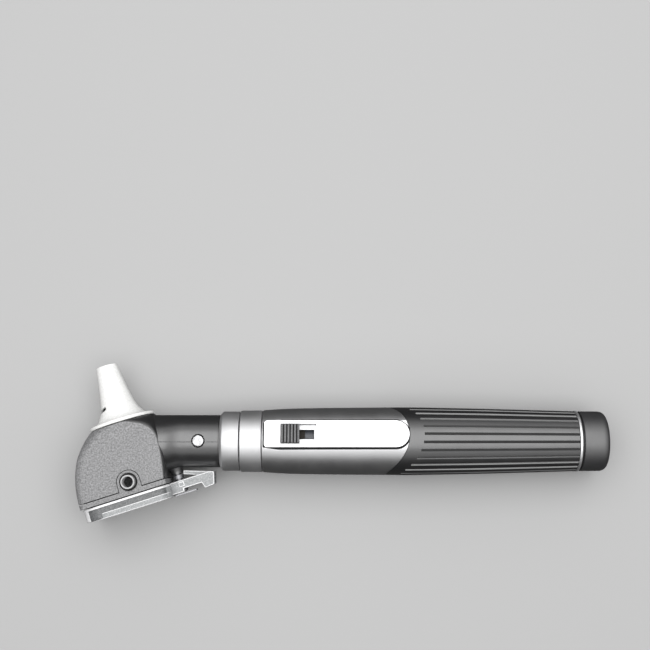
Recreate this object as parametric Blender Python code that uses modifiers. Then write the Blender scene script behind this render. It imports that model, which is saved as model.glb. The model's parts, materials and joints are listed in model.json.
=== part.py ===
# Pocket otoscope lying on its side: +X along the handle to the screw cap, +Y to the
# speculum, +Z up. Lengths in the tables are millimetres; MM turns them into metres.
import math

import bmesh
import bpy

MM = 0.001

# where the handle's axis meets the head joint, in the object's frame
JOINT_X = -31.9
AXIS_Y = 0.48
AXIS_Z = 10.5

# head
VIEW_TILT = math.radians(17.5)     # viewing axis, leaned from +Y towards the head's front
FLANGE_X, FLANGE_Y = -37.0, 5.6    # centre of the speculum's flange, from the joint
DRUM_HALF = 10.5
FLANGE_R = 10.2
DRUM_DEPTH = 20.45
WALL = 1.5
BASE_TOP, BASE_BOTTOM = -20.75, -22.15
NECK_R = 8.1
NECK_END = -6.5
COLLAR_R = 9.2
PORT_W, PORT_V = -1.57, -18.3
BUMP_R = 3.45
PIN_X = -12.5                      # lock pin in the neck
SLOT_V = 4.4                       # oblique slot through the speculum's skirt
SLOT_SLOPE = math.radians(-14.0)

# window
PIVOT_W = 11.8
WINDOW_TOP = -22.45
WINDOW_BOTTOM = -26.65
BLOCK_BOTTOM = -26.1
LENS_BOTTOM = -26.2

# handle
TUBE_OUT, TUBE_IN = 8.3, 7.55
SHELL_IN = 8.6
RING_END = 6.75
TONGUE_R = 11.2                    # the metal ends in an arc of this radius
TONGUE_TIP = 52.0
GRIP_END = 103.8
CAP_START, CAP_END, CAP_R = 105.4, 113.4, 9.25
GROOVES = 26
GROOVE_WIDTH, GROOVE_DEPTH = 0.9, 0.4
GROOVE_LAND = 4.5                  # plain band between the metal and the grooves
CELL_R, CELL_LENGTH = 7.25, 50.5
CELL_START = 8.6

# clip and switch, on the side of the handle turned towards +Y
CLIP_TURN = math.radians(-11.8)
CLIP_START, CLIP_TIP, CLIP_HALF = 7.5, 51.9, 4.15
CLIP_LOW, CLIP_HIGH = 9.5, 10.5
RECESS_FLOOR = 9.2
SLOT_START, SLOT_END, SLOT_HALF = 12.7, 23.6, 3.15
KNOB_START, KNOB_LENGTH, KNOB_HALF = 12.9, 5.6, 2.9
KNOB_TOP = 11.4

STEPS_SHELL = 2 * GROOVES          # one facet for each groove and each land
STEPS_OUT = 40
STEPS_IN = 24

ALONG_X = (0.0, math.pi / 2, 0.0)
ALONG_Y = (-math.pi / 2, 0.0, 0.0)
ALONG_Z = (0.0, 0.0, 0.0)

BLACK = ("black_moulding", (0.035, 0.035, 0.036), 0.55, 0.0)
SATIN = ("satin_metal", (0.72, 0.72, 0.73), 0.3, 1.0)
BRIGHT = ("bright_metal", (0.85, 0.85, 0.86), 0.15, 1.0)
BRASS = ("brass", (0.72, 0.55, 0.25), 0.3, 1.0)
WHITE = ("white_moulding", (0.8, 0.8, 0.8), 0.4, 0.0)
CLEAR = ("clear_moulding", (0.75, 0.77, 0.78), 0.1, 0.0)
RUBBER = ("black_rubber", (0.02, 0.02, 0.02), 0.8, 0.0)
CELL = ("cell_wrap", (0.25, 0.27, 0.3), 0.35, 0.5)


def clear_scene():
    for item in list(bpy.data.objects):
        bpy.data.objects.remove(item, do_unlink=True)


def new_collection(name):
    collection = bpy.data.collections.new(name)
    bpy.context.scene.collection.children.link(collection)
    return collection


def material(look):
    name, colour, roughness, metallic = look
    found = bpy.data.materials.get(name)
    if found:
        return found
    made = bpy.data.materials.new(name)
    made.use_nodes = True
    shader = made.node_tree.nodes["Principled BSDF"]
    shader.inputs["Base Color"].default_value = (*colour, 1.0)
    shader.inputs["Roughness"].default_value = roughness
    shader.inputs["Metallic"].default_value = metallic
    return made


def empty(name, parent, place, turn=ALONG_Z):
    made = bpy.data.objects.new(name, None)
    parts.objects.link(made)
    made.parent = parent
    made.location = [value * MM for value in place]
    made.rotation_euler = turn
    return made


def add(name, data, parent, look, place=(0, 0, 0), turn=ALONG_Z):
    """Put a piece in the scene, or a cutter where no look is given."""
    made = bpy.data.objects.new(name, data)
    made.parent = parent
    made.location = [value * MM for value in place]
    made.rotation_euler = turn
    if look is None:
        cutters.objects.link(made)
        made.display_type = "WIRE"
        made.hide_render = True
        return made
    parts.objects.link(made)
    data.materials.append(material(look))
    return made


def mesh_from(name, bm):
    bmesh.ops.recalc_face_normals(bm, faces=bm.faces[:])
    data = bpy.data.meshes.new(name)
    bm.to_mesh(data)
    bm.free()
    data.shade_smooth()
    data.set_sharp_from_angle(angle=math.radians(35))
    return data


def turned(name, outer, inner, parent, turn, look, steps=STEPS_IN, place=(0, 0, 0)):
    """Turn (station, radius) points about local Z; inner is the bore, or None."""
    down = [(radius, station) for station, radius in reversed(outer)]
    if inner:
        profile = down + [(radius, station) for station, radius in inner]
    else:
        profile = [(0.0, down[0][1])] + down + [(0.0, down[-1][1])]
    data = bpy.data.meshes.new(name)
    points = [(radius * MM, 0.0, station * MM) for radius, station in profile]
    edges = [(i, i + 1) for i in range(len(points) - 1)]
    if inner:
        edges.append((len(points) - 1, 0))
    data.from_pydata(points, edges, [])
    made = add(name, data, parent, look, place, turn)
    screw = made.modifiers.new("Turn", "SCREW")
    screw.angle = math.tau
    screw.axis = "Z"
    screw.steps = steps
    screw.render_steps = steps
    screw.use_merge_vertices = True
    screw.merge_threshold = 0.00001
    return made


def rod(name, radius, start, end, parent, turn, look, steps=STEPS_IN, place=(0, 0, 0)):
    return turned(name, [(start, radius), (end, radius)], None, parent, turn, look, steps, place)


def tube(name, radius, bore, start, end, parent, turn, look, steps=STEPS_IN):
    outer = [(start, radius), (end, radius)]
    return turned(name, outer, [(start, bore), (end, bore)], parent, turn, look, steps)


def box(name, low, high, parent, look, turn=ALONG_Z):
    bm = bmesh.new()
    bmesh.ops.create_cube(bm, size=1.0)
    for vert in bm.verts:
        vert.co = [(low[i] + (high[i] - low[i]) * (vert.co[i] + 0.5)) * MM for i in range(3)]
    return add(name, mesh_from(name, bm), parent, look, (0, 0, 0), turn)


def boxes(name, corners, parent):
    """A cutter made of separate boxes."""
    bm = bmesh.new()
    for low, high in corners:
        made = bmesh.ops.create_cube(bm, size=1.0)["verts"]
        for vert in made:
            vert.co = [(low[i] + (high[i] - low[i]) * (vert.co[i] + 0.5)) * MM for i in range(3)]
    return add(name, mesh_from(name, bm), parent, None)


def plate(name, outline, low, high, parent, look, axis="Z"):
    """Extrude a closed outline of two coordinates along the third, from low to high."""
    bm = bmesh.new()
    if axis == "Z":
        verts = [bm.verts.new((a * MM, b * MM, low * MM)) for a, b in outline]
        step = (0.0, 0.0, (high - low) * MM)
    else:
        verts = [bm.verts.new((a * MM, low * MM, b * MM)) for a, b in outline]
        step = (0.0, (high - low) * MM, 0.0)
    face = bm.faces.new(verts)
    grown = bmesh.ops.extrude_face_region(bm, geom=[face])["geom"]
    moved = [item for item in grown if isinstance(item, bmesh.types.BMVert)]
    bmesh.ops.translate(bm, verts=moved, vec=step)
    return add(name, mesh_from(name, bm), parent, look)


def loft(name, rings, parent, look):
    """Skin rings of the same number of points, closed at both ends."""
    bm = bmesh.new()
    loops = [[bm.verts.new([value * MM for value in point]) for point in ring] for ring in rings]
    count = len(rings[0])
    for lower, upper in zip(loops, loops[1:]):
        for i in range(count):
            j = (i + 1) % count
            bm.faces.new((lower[i], lower[j], upper[j], upper[i]))
    bm.faces.new(loops[0])
    bm.faces.new(loops[-1])
    return add(name, mesh_from(name, bm), parent, look)


def boolean(target, tool, operation="DIFFERENCE"):
    modifier = target.modifiers.new(tool.name, "BOOLEAN")
    modifier.operation = operation
    modifier.object = tool


def bevel(target, width, segments=2, angle=40.0):
    modifier = target.modifiers.new("Edges", "BEVEL")
    modifier.width = width * MM
    modifier.segments = segments
    modifier.limit_method = "ANGLE"
    modifier.angle_limit = math.radians(angle)


def arc(centre_a, centre_b, radius, start, end, count):
    turns = [math.radians(start + (end - start) * i / count) for i in range(count + 1)]
    return [(centre_a + radius * math.cos(t), centre_b + radius * math.sin(t)) for t in turns]


def round_rect(left, right, half, radius_left, radius_right, per_corner=8):
    """Rounded outline in two coordinates, counted from the right low corner round."""
    radius_left = min(radius_left, half)
    radius_right = min(radius_right, half)
    points = arc(right - radius_right, -half + radius_right, radius_right, -90, 0, per_corner)
    points += arc(right - radius_right, half - radius_right, radius_right, 0, 90, per_corner)
    points += arc(left + radius_left, half - radius_left, radius_left, 90, 180, per_corner)
    points += arc(left + radius_left, -half + radius_left, radius_left, 180, 270, per_corner)
    kept = []
    for point in points:
        if not kept or math.dist(point, kept[-1]) > 0.01:
            kept.append(point)
    return kept


def drum_section(v, inset=0.0, per_corner=7):
    """The drum's outline at height v under the flange, shrunk by inset."""
    depth = -v
    t = min(depth / 21.0, 1.0)
    left = -(FLANGE_R + 8.1 * (1.0 - (1.0 - t) ** 2.2)) + inset
    right = FLANGE_R + 1.1 * math.sin(math.pi * t) - 0.9 * t - inset
    half = DRUM_HALF - 0.55 * math.exp(-depth / 2.0) - inset
    corner = FLANGE_R * math.exp(-depth / 6.0)
    edge = FLANGE_R * math.exp(-depth / 3.4)
    left_r = min(max(corner, 3.0) - inset * 0.5, half - 0.2)
    right_r = min(max(edge, 1.2) - inset * 0.2, half - 0.2)
    return round_rect(left, right, half, left_r, right_r, per_corner)


def drum_ring(v, inset=0.0):
    return [(w, v, z) for w, z in drum_section(v, inset)]


def neck_ring(x, flare, count=40):
    """Oval neck section; flare widens it at the sides and the window edge only."""
    top = NECK_R
    bottom = -NECK_R - 1.6 * flare
    side = NECK_R + 2.2 * flare
    middle = (top + bottom) / 2
    reach = (top - bottom) / 2
    turns = [math.tau * i / count for i in range(count)]
    return [(x, middle + reach * math.cos(t), side * math.sin(t)) for t in turns]


def tombstone(spread, foot):
    """Outline of the casing's raised tongue round the air port."""
    radius = BUMP_R + spread
    points = arc(PORT_W, PORT_V, radius, 0, 180, 14)
    return points + [(PORT_W - radius, foot), (PORT_W + radius, foot)]


def coil(name, radius_start, radius_end, start, end, turns, wire, parent, turn, look):
    per_turn = 14
    count = int(turns * per_turn)
    curve = bpy.data.curves.new(name, "CURVE")
    curve.dimensions = "3D"
    curve.bevel_depth = wire * MM
    curve.bevel_resolution = 2
    curve.use_fill_caps = True
    spline = curve.splines.new("POLY")
    spline.points.add(count)
    for i, point in enumerate(spline.points):
        s = i / count
        angle = math.tau * turns * s
        radius = radius_start + (radius_end - radius_start) * s
        height = start + (end - start) * s
        place = (radius * math.cos(angle) * MM, radius * math.sin(angle) * MM, height * MM)
        point.co = (*place, 1.0)
    return add(name, curve, parent, look, (0, 0, 0), turn)


def build_housing():
    levels = [-0.3, -1.2, -2.6, -4.5, -7.0, -10.5, -15.0, -DRUM_DEPTH]
    housing = loft("head_housing", [drum_ring(v) for v in levels], view, BLACK)
    flares = [(-27.7, 1.0), (-22.6, 1.0), (-21.2, 0.55), (-19.8, 0.2), (-17.6, 0.0), (NECK_END, 0.0)]
    neck = loft("neck_body", [neck_ring(x, flare) for x, flare in flares], head, None)
    spigot = rod("neck_spigot", 7.6, NECK_END - 1.0, -0.6, head, ALONG_X, None, 40)
    foot = [(-20.3, 1.9), (-19.3, 2.1), (-17.5, 3.0), (-13.0, 4.2)]
    boss = turned("pivot_boss", foot, None, view, ALONG_Y, None, 20, (PIVOT_W, 0, 0))
    for tool in (neck, spigot, boss):
        boolean(housing, tool, "UNION")
    inside = [-1.4, -2.6, -4.5, -8.0, -13.0, -21.5]
    cavity = loft("drum_cavity", [drum_ring(v, WALL) for v in inside], view, None)
    mouth = rod("cone_mouth", 7.2, -3.0, 1.0, view, ALONG_Y, None, STEPS_IN)
    steps = [(-29.0, 5.3), (-7.2, 5.3), (-7.2, 6.65), (1.0, 6.65)]
    bore = turned("neck_bore", steps, None, head, ALONG_X, None, STEPS_IN)
    notch = plate("bump_notch", tombstone(0.2, -25.0), 6.0, 12.0, view, None)
    pin_hole = rod("pin_hole", 2.1, 4.0, 12.0, head, ALONG_Z, None, 24, (PIN_X, 0, 0))
    thread = rod("pivot_thread_hole", 1.2, -21.0, -15.0, view, ALONG_Y, None, 16, (PIVOT_W, 0, 0))
    for tool in (cavity, mouth, bore, notch, pin_hole, thread):
        boolean(housing, tool)


def build_window_base():
    rings = [drum_ring(v) for v in (BASE_TOP, BASE_BOTTOM)]
    base = loft("window_base", rings, view, BLACK)
    tongue = plate("bump_tongue", tombstone(0.0, BASE_TOP - 0.6), 9.0, DRUM_HALF, view, None)
    boolean(base, tongue, "UNION")
    opening = [(w, v, z) for v in (-25.0, BASE_TOP + 0.2) for w, z in drum_section(-21.0, 2.6)]
    half = len(opening) // 2
    boolean(base, loft("base_opening", [opening[:half], opening[half:]], view, None))
    hole = rod("port_hole", 2.75, 4.0, 14.0, view, ALONG_Z, None, 24, (PORT_W, PORT_V, 0))
    boolean(base, hole)
    seat = [[(w, v, z) for w, z in drum_section(-21.0, 2.2)] for v in (-23.0, BASE_BOTTOM + 0.7)]
    boolean(base, loft("seal_seat", seat, view, None))
    low, high = BASE_BOTTOM - 0.15, BASE_BOTTOM + 0.4
    ring = [[(w, v, z) for w, z in drum_section(-21.0, 2.5)] for v in (low, high)]
    seal = loft("window_seal", ring, view, RUBBER)
    inner = [[(w, v, z) for w, z in drum_section(-21.0, 3.4)] for v in (low - 1.0, high + 1.0)]
    boolean(seal, loft("seal_opening", inner, view, None))


def build_port():
    stub = [(8.7, 2.15), (11.9, 2.15), (12.2, 1.95)]
    bore = [(8.7, 1.6), (12.2, 1.6)]
    turned("insufflation_port", stub, bore, view, ALONG_Z, BLACK, 28, (PORT_W, PORT_V, 0))
    ring = [(9.2, 2.6), (10.2, 2.6)]
    hole = [(9.2, 2.3), (10.2, 2.3)]
    turned("port_seal", ring, hole, view, ALONG_Z, RUBBER, 24, (PORT_W, PORT_V, 0))


def speculum_profile():
    """(height, outer radius) of the funnel above its flange."""
    flare = [(1.0, 8.9), (1.4, 8.1), (2.0, 7.35), (2.8, 6.75), (4.0, 6.05), (5.4, 5.5), (7.2, 5.05)]
    return flare + [(9.7, 4.6), (14.4, 3.85), (18.3, 3.3), (18.7, 3.1)]


def build_speculum():
    skin = speculum_profile()
    outer = [(0.0, FLANGE_R - 0.2), (0.2, FLANGE_R), (0.8, FLANGE_R), (1.0, FLANGE_R - 0.2)] + skin
    inner = [(0.0, 8.2)] + [(v, r - 0.6) for v, r in skin[1:-1:2]] + [(18.7, 2.7)]
    cover = turned("speculum", outer, inner, view, ALONG_Y, WHITE, 36)
    place = empty("slot_turn", view, (0, SLOT_V, 0), (SLOT_SLOPE, 0, 0))
    boolean(cover, box("speculum_slot", (-9.0, -0.5, -2.0), (-2.5, 0.5, 4.7), place, None))


def build_cone():
    body = [(v, r - 0.95) for v, r in speculum_profile()[3:9:2]]
    outer = [(-2.5, 8.2), (-1.7, 8.2), (-1.7, 6.9), (0.2, 6.9)] + body + [(16.4, 2.65)]
    inner = [(-2.5, 6.2), (0.2, 6.1)] + [(v, r - 0.55) for v, r in body] + [(16.4, 2.1)]
    turned("speculum_cone", outer, inner, view, ALONG_Y, BLACK)
    tube("fibre_tip_ring", 2.5, 1.9, 16.7, 17.6, view, ALONG_Y, BRIGHT, 24)


def build_fibre():
    curve = bpy.data.curves.new("fibre_bundle", "CURVE")
    curve.dimensions = "3D"
    curve.bevel_depth = 0.4 * MM
    curve.bevel_resolution = 2
    curve.use_fill_caps = True
    route = [(17.3, -11.2), (14.6, -10.0), (12.0, -8.4), (9.6, -6.6), (7.4, -4.6), (5.7, -2.4)]
    route += [(4.9, 0.0), (4.3, 2.4), (3.6, 4.8), (3.1, 7.2), (2.6, 9.8), (2.1, 12.4)]
    route += [(1.6, 14.4), (1.3, 16.2)]
    spline = curve.splines.new("POLY")
    spline.points.add(len(route) - 1)
    for point, (w, v) in zip(spline.points, route):
        point.co = (w * MM, v * MM, 0.0, 1.0)
    add("fibre_bundle", curve, view, BRIGHT)


def build_lamp():
    can = [(-16.6, 2.6), (-15.8, 4.2), (-15.2, 4.7), (-4.3, 4.7), (-4.0, 4.4)]
    turned("lamp_module", can, None, head, ALONG_X, BRIGHT)
    tube("lamp_insulator", 4.6, 1.4, -3.6, -1.2, head, ALONG_X, WHITE)
    rod("lamp_pin", 1.0, -3.7, 2.9, head, ALONG_X, BRASS, 20)
    sleeve = [(-6.8, 6.3), (4.4, 6.3), (4.8, 5.9)]
    turned("coupling_insert", sleeve, [(-6.8, 5.1), (4.8, 5.1)], head, ALONG_X, BRASS)
    disc = [(5.7, 1.74), (8.05, 1.74), (8.2, 1.55)]
    turned("neck_lock_pin", disc, None, head, ALONG_Z, BRIGHT, 24, (PIN_X, 0, 0))
    ring = [(-6.2, 8.3), (-5.3, COLLAR_R), (-0.35, COLLAR_R), (-0.2, COLLAR_R - 0.15)]
    turned("collar", ring, [(-6.2, 7.9), (-0.2, 7.9)], head, ALONG_X, SATIN, STEPS_OUT)


def build_pivot():
    flange = [(-25.2, 1.1), (-21.9, 1.1), (-21.9, 1.65), (-20.65, 1.65), (-20.6, 1.6)]
    shape = [(-25.9, 1.8), (-25.2, 1.9)] + flange + [(-20.6, 0.9), (-15.6, 0.9)]
    turned("pivot_pin", shape, None, view, ALONG_Y, SATIN, 24, (PIVOT_W, 0, 0))


def build_window():
    frame = round_rect(-18.3, 9.3, 10.0, 6.0, 4.0)
    carrier = plate("window_carrier", frame, WINDOW_BOTTOM, WINDOW_TOP, view, CLEAR, "Y")
    side = [(7.6, WINDOW_TOP), (18.0, WINDOW_TOP), (13.75, -20.9), (14.1, -19.75), (23.2, -22.9)]
    side += [(22.2, -26.7), (19.2, -26.9), (18.6, -25.1), (12.9, -25.1), (12.9, BLOCK_BOTTOM)]
    side += [(7.6, BLOCK_BOTTOM)]
    lever = plate("window_lever", side, -3.6, 3.6, view, None)
    sides = [((13.0, -22.3, 1.9), (21.5, -19.0, 5.0)), ((13.0, -22.3, -5.0), (21.5, -19.0, -1.9))]
    boolean(lever, boxes("prong_sides", sides, view))
    boolean(carrier, lever, "UNION")
    steps = [(-28.0, 2.2), (-24.9, 2.2), (-24.9, 1.4), (-19.0, 1.4)]
    hole = turned("pivot_hole", steps, None, view, ALONG_Y, None, 20, (PIVOT_W, 0, 0))
    boolean(carrier, hole)
    seat = round_rect(-16.8, 7.1, 8.4, 5.2, 5.2)
    boolean(carrier, plate("lens_seat", seat, -30.0, WINDOW_TOP - 0.9, view, None, "Y"))
    sight = round_rect(-15.9, 6.2, 7.5, 4.6, 4.6)
    boolean(carrier, plate("lens_sight", sight, -30.0, -20.0, view, None, "Y"))
    low, high = LENS_BOTTOM, WINDOW_TOP - 1.2
    rings = []
    for v, shrink in ((low, 2.4), (low + 0.5, 1.0), (low + 1.1, 0.3), (high, 0.3)):
        outline = round_rect(-16.8 + shrink, 7.1 - shrink, 8.4 - shrink, 5.2 - shrink, 5.2 - shrink)
        rings.append([(w, v, z) for w, z in outline])
    loft("magnifier_lens", rings, view, CLEAR)
    leaf = [(16.3, -2.0), (16.3, 2.0), (9.7, 2.4), (9.7, -2.4)]
    plate("window_leaf", leaf, BLOCK_BOTTOM - 0.65, BLOCK_BOTTOM - 0.3, view, SATIN, "Y")


def shell_profile(start, end):
    """Outer radius of the handle's shell, fattest where metal meets grip."""
    shape = [(6.95, 9.6), (12.0, 9.95), (19.0, 10.2), (30.0, 10.35), (42.0, 10.45), (52.0, 10.5)]
    shape += [(62.0, 10.35), (75.0, 10.1), (88.0, 9.75), (GRIP_END, 9.3)]
    return [(x, r) for x, r in shape if start <= x <= end]


def tongue_cutter(name, spread):
    """Covers everything on the head's side of the arc where the metal ends."""
    centre = TONGUE_TIP - TONGUE_R
    radius = TONGUE_R + spread
    outline = arc(centre, 0.0, radius, -88, 88, 36) + [(centre, 14.0), (-5.0, 14.0)]
    outline += [(-5.0, -14.0), (centre, -14.0)]
    return plate(name, outline, -14.0, 14.0, clip_side, None)


def build_sleeve():
    outer = shell_profile(6.0, 56.0)
    inner = [(outer[0][0], SHELL_IN), (outer[-1][0], SHELL_IN)]
    sleeve = turned("metal_sleeve", outer, inner, handle, ALONG_X, SATIN, STEPS_SHELL)
    outline = round_rect(CLIP_START - 0.3, TONGUE_TIP + 2.0, CLIP_HALF + 0.3, 1.2, 1.2, 4)
    boolean(sleeve, plate("clip_recess", outline, RECESS_FLOOR, 14.0, clip_side, None))
    low = (SLOT_START + 0.6, -1.5, 7.0)
    high = (SLOT_END - 0.6, 1.5, 12.0)
    boolean(sleeve, box("switch_slot", low, high, clip_side, None))
    boolean(sleeve, rod("screw_hole", 1.0, 7.0, 12.0, clip_side, ALONG_Z, None, 16, (9.9, 0, 0)))
    boolean(sleeve, tongue_cutter("tongue", 0.0), "INTERSECT")


def build_grip():
    outer = shell_profile(40.0, 104.0)
    inner = [(outer[0][0], SHELL_IN), (outer[-1][0], SHELL_IN)]
    grip = turned("grip", outer, inner, handle, ALONG_X, BLACK, STEPS_SHELL)
    boolean(grip, tongue_cutter("tongue_and_gap", 0.12))
    bm = bmesh.new()
    for k in range(GROOVES):
        angle = k * math.tau / GROOVES + CLIP_TURN
        across = abs(10.4 * math.sin(angle - CLIP_TURN))
        start = TONGUE_TIP - TONGUE_R + math.sqrt(TONGUE_R ** 2 - min(across, 10.4) ** 2)
        start += GROOVE_LAND
        floor_start = 10.45 - GROOVE_DEPTH
        floor_end = 9.3 - GROOVE_DEPTH + 0.05
        half = GROOVE_WIDTH / 2
        ends = [(start, floor_start), (75.0, 10.1 - GROOVE_DEPTH), (108.0, floor_end - 0.15)]
        sections = []
        for x, floor in ends:
            low = floor / math.cos(math.pi / STEPS_SHELL)
            sections.append([(x, -half, low), (x, half, low), (x, half, 13.0), (x, -half, 13.0)])
        loops = []
        for section in sections:
            loop = []
            for x, y, z in section:
                turned_y = y * math.cos(angle) - z * math.sin(angle)
                turned_z = y * math.sin(angle) + z * math.cos(angle)
                loop.append(bm.verts.new((x * MM, turned_y * MM, turned_z * MM)))
            loops.append(loop)
        for first, second in zip(loops, loops[1:]):
            for i in range(4):
                j = (i + 1) % 4
                bm.faces.new((first[i], first[j], second[j], second[i]))
        bm.faces.new(loops[0])
        bm.faces.new(loops[-1])
    flutes = add("grip_flutes", mesh_from("grip_flutes", bm), handle, None)
    boolean(grip, flutes)


def build_handle():
    ring = [(0.1, 9.35), (0.25, 9.5), (RING_END, 9.55)]
    turned("top_ring", ring, [(0.1, 6.8), (RING_END, 6.8)], handle, ALONG_X, SATIN, STEPS_OUT)
    build_sleeve()
    build_grip()
    cells = tube("battery_tube", TUBE_OUT, TUBE_IN, 7.9, 109.2, handle, ALONG_X, SATIN, 36)
    boolean(cells, box("slider_window", (7.0, -3.8, 6.0), (27.5, 3.8, 12.0), clip_side, None))
    ring = [(103.95, 9.25), (104.1, 9.4), (104.6, 9.4), (104.75, 9.25)]
    chrome = [(103.95, SHELL_IN), (104.75, SHELL_IN)]
    turned("chrome_ring", ring, chrome, handle, ALONG_X, BRIGHT, STEPS_OUT)
    tube("cap_seal", 9.0, SHELL_IN, 104.85, 105.2, handle, ALONG_X, RUBBER, 36)
    disc = [(5.1, 6.6), (6.9, 6.6), (6.9, 7.3), (7.6, 7.3)]
    hole = [(5.1, 1.5), (5.7, 1.5), (5.7, 2.7), (7.6, 2.7)]
    turned("contact_carrier", disc, hole, handle, ALONG_X, WHITE)
    pin = [(3.3, 1.0), (3.5, 1.2), (7.7, 1.2), (7.7, 2.4), (8.3, 2.4)]
    turned("contact_plunger", pin, None, handle, ALONG_X, BRASS, 20)
    coil("contact_spring", 1.9, 1.9, 6.1, 7.3, 3.0, 0.15, handle, ALONG_X, BRIGHT)
    for number in (1, 2):
        start = CELL_START + (number - 1) * (CELL_LENGTH + 0.15)
        nub, end = start + 1.0, start + CELL_LENGTH
        cell = [(start, 2.75), (nub, 2.75), (nub, 6.9), (nub + 0.5, CELL_R), (end - 0.4, CELL_R)]
        cell += [(end, 6.9)]
        turned(f"battery_{number}", cell, None, handle, ALONG_X, CELL, 28)
    screw = [(7.75, 1.7), (8.25, 1.7), (8.25, 0.75), (9.15, 0.75)]
    turned("clip_screw", screw, None, clip_side, ALONG_Z, BRIGHT, 16, (9.9, 0, 0))


def build_clip():
    outline = arc(CLIP_TIP - CLIP_HALF, 0.0, CLIP_HALF, -90, 90, 20)
    outline += arc(CLIP_START + 1.0, CLIP_HALF - 1.0, 1.0, 90, 180, 4)
    outline += arc(CLIP_START + 1.0, -CLIP_HALF + 1.0, 1.0, 180, 270, 4)
    clip = plate("pocket_clip", outline, CLIP_LOW, CLIP_HIGH, clip_side, SATIN)
    low = (SLOT_START, -SLOT_HALF, 8.0)
    high = (SLOT_END, SLOT_HALF, 12.0)
    boolean(clip, box("knob_slot", low, high, clip_side, None))
    bevel(clip, 0.2, 2, 60.0)


def build_switch():
    end = KNOB_START + KNOB_LENGTH
    knob = box("switch_knob", (KNOB_START, -KNOB_HALF, 9.5), (end, KNOB_HALF, KNOB_TOP), clip_side, BLACK)
    middle = (KNOB_START + end) / 2
    stem = box("knob_stem", (middle - 1.7, -1.2, 8.5), (middle + 1.7, 1.2, 9.7), clip_side, None)
    boolean(knob, stem, "UNION")
    pitch = 0.78
    cuts = []
    for k in range(6):
        x = middle + (k - 2.5) * pitch
        cuts.append(((x - 0.16, -4.0, KNOB_TOP - 0.3), (x + 0.16, 4.0, 13.0)))
    boolean(knob, boxes("knob_ribs", cuts, clip_side))
    low, high = KNOB_START - 0.7, KNOB_START + 7.2
    slider = tube("switch_slider", 8.2, 7.65, low, high, clip_side, ALONG_X, BRASS, 40)
    keep = box("slider_keep", (0.0, -3.2, 5.0), (40.0, 3.2, 12.0), clip_side, None)
    boolean(slider, keep, "INTERSECT")


def build_cap():
    outer = [(CAP_START, 9.1), (CAP_START + 0.15, CAP_R), (111.4, CAP_R), (112.4, 9.0)]
    outer += [(113.1, 8.35), (CAP_END, 7.4)]
    shell = turned("end_cap", outer, None, handle, ALONG_X, BLACK, STEPS_OUT)
    hollow = [(CAP_START - 1.0, 8.6), (110.0, 8.6), (110.0, 7.9), (112.0, 7.9)]
    boolean(shell, turned("cap_hollow", hollow, None, handle, ALONG_X, None, 36))
    rod("cap_contact", 7.6, 111.2, 111.7, handle, ALONG_X, BRIGHT)
    coil("cap_spring", 6.2, 3.4, 110.3, 110.6, 2.0, 0.3, handle, ALONG_X, BRIGHT)


clear_scene()
parts = new_collection("otoscope")
cutters = new_collection("cutters")
handle = empty("handle_axis", None, (JOINT_X, AXIS_Y, AXIS_Z))
head = empty("head_turn", handle, (0, 0, 0))
view = empty("viewing_axis", head, (FLANGE_X, FLANGE_Y, 0), (0, 0, VIEW_TILT))
clip_side = empty("clip_side", handle, (0, 0, 0), (CLIP_TURN, 0, 0))

build_housing()
build_window_base()
build_port()
build_speculum()
build_cone()
build_fibre()
build_lamp()
build_pivot()
build_window()
build_handle()
build_clip()
build_switch()
build_cap()
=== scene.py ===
import json
import math

import bpy
from mathutils import Matrix, Vector


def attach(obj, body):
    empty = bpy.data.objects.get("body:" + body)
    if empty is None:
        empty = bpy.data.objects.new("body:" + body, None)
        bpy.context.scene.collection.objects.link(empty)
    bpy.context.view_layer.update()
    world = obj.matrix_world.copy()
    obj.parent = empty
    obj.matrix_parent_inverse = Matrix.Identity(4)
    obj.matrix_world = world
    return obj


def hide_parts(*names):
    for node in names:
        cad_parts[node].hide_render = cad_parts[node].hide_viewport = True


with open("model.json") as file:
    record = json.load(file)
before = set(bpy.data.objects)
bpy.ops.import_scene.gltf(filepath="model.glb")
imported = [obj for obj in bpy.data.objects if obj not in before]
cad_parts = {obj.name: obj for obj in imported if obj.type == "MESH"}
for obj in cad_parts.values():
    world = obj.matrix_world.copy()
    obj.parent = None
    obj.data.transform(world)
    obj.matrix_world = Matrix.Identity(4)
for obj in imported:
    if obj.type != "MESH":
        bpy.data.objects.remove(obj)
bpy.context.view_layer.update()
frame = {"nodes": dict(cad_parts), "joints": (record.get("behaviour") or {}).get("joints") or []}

mm = 0.001
joints = {joint["name"]: joint for joint in frame["joints"]}

# the three places that pieces are modelled in: the handle, the head and the clip side
headCentre = (-37.0 * mm, 5.6 * mm, 0.0)     # from the handle's joint to the axis of the view
viewAxis = Vector(joints["speculum_pull"]["axis"])
clipAcross = Vector(joints["clip_flex"]["axis"])
headTilt = math.atan2(-viewAxis.x, viewAxis.y)
clipTurn = math.atan2(-clipAcross.z, -clipAcross.y)
handleSpot = Matrix.Translation(Vector(joints["head_twist"]["pos_m"]))
headSpot = handleSpot @ Matrix.Translation(headCentre) @ Matrix.Rotation(headTilt, 4, "Z")
clipSpot = handleSpot @ Matrix.Rotation(clipTurn, 4, "X")
neckSpot = headSpot.inverted() @ handleSpot            # the handle's axis as the head sees it
alongX = Matrix.Rotation(math.radians(90), 4, "Y")     # a piece turned about Z now lies along X
alongV = Matrix.Rotation(math.radians(-90), 4, "X")    # and here along the viewing axis
faceDown = Matrix.Rotation(math.radians(90), 4, "X")   # a plate drawn in X and Y now lies across the view


def linearColour(hexText):
    channels = [int(hexText[i:i + 2], 16) / 255 for i in (1, 3, 5)]
    curved = [c / 12.92 if c <= 0.04045 else ((c + 0.055) / 1.055) ** 2.4 for c in channels]
    return (*curved, 1.0)


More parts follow.
